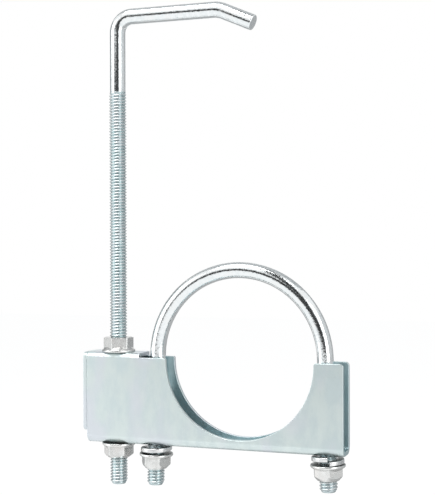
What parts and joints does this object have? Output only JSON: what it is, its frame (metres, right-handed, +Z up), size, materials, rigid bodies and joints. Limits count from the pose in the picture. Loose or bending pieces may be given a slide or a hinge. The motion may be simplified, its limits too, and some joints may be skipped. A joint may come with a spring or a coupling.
{
  "type": "exhaust pipe clamp",
  "caption": "U-bolt clamp with a folded channel saddle for an exhaust pipe, with a long threaded hook bolt at one end that carries the exhaust on its hanger.",
  "frame": {"origin": "on the axis of the clamped pipe, at the middle of the saddle's width", "axes": "X runs along the saddle towards its open end, Y along the pipe, Z up towards the hook"},
  "size_m": [0.1424, 0.0178, 0.2547],
  "materials": {
    "saddle_zinc": "satin zinc plate on pressed sheet steel",
    "rod_zinc": "bright zinc plate on drawn round bar, rolled threads",
    "nut_zinc": "zinc plate on cold formed nuts",
    "washer_zinc": "bright zinc plate on spring steel"
  },
  "bodies": {
    "saddle": {"saddle": "saddle_zinc", "left_lock_washer": "washer_zinc", "right_lock_washer": "washer_zinc"},
    "u_bolt": {"u_bolt": "rod_zinc"},
    "left_leg_nut": {"left_leg_nut": "nut_zinc"},
    "right_leg_nut": {"right_leg_nut": "nut_zinc"},
    "hook_bolt": {"hook_bolt": "rod_zinc"},
    "hook_upper_nut": {"hook_upper_nut": "nut_zinc"},
    "hook_lower_nut": {"hook_lower_nut": "nut_zinc"}
  },
  "joints": [
    {"name": "u_bolt_draw", "type": "slide", "parent": "saddle", "child": "u_bolt", "axis": [0, 0, 1], "range_m": [-0.0034, 0.006]},
    {"name": "left_leg_nut_turn", "type": "hinge", "parent": "saddle", "child": "left_leg_nut", "pos_m": [-0.04817, 0, -0.0537], "axis": [0.0227, 0, 0.9997], "range_deg": [-1362, 773]},
    {"name": "right_leg_nut_turn", "type": "hinge", "parent": "saddle", "child": "right_leg_nut", "pos_m": [0.04537, 0, -0.0538], "axis": [-0.0227, 0, 0.9997], "range_deg": [-1362, 773]},
    {"name": "hook_height", "type": "slide", "parent": "saddle", "child": "hook_bolt", "axis": [0, 0, 1], "range_m": [-0.1, 0.014]},
    {"name": "hook_upper_nut_turn", "type": "hinge", "parent": "saddle", "child": "hook_upper_nut", "pos_m": [-0.0699, 0, 0.0072], "axis": [0, 0, 1], "range_deg": [-3176, 22679]},
    {"name": "hook_lower_nut_turn", "type": "hinge", "parent": "saddle", "child": "hook_lower_nut", "pos_m": [-0.0699, 0, -0.0493], "axis": [0, 0, 1], "range_deg": [-3176, 22679]}
  ],
  "couplings": [
    {"joint": "left_leg_nut_turn", "follows": "u_bolt_draw", "rad_per_m": -3957.9},
    {"joint": "right_leg_nut_turn", "follows": "u_bolt_draw", "rad_per_m": -3957.9},
    {"joint": "hook_upper_nut_turn", "follows": "hook_height", "rad_per_m": -3957.9},
    {"joint": "hook_lower_nut_turn", "follows": "hook_height", "rad_per_m": -3957.9}
  ]
}
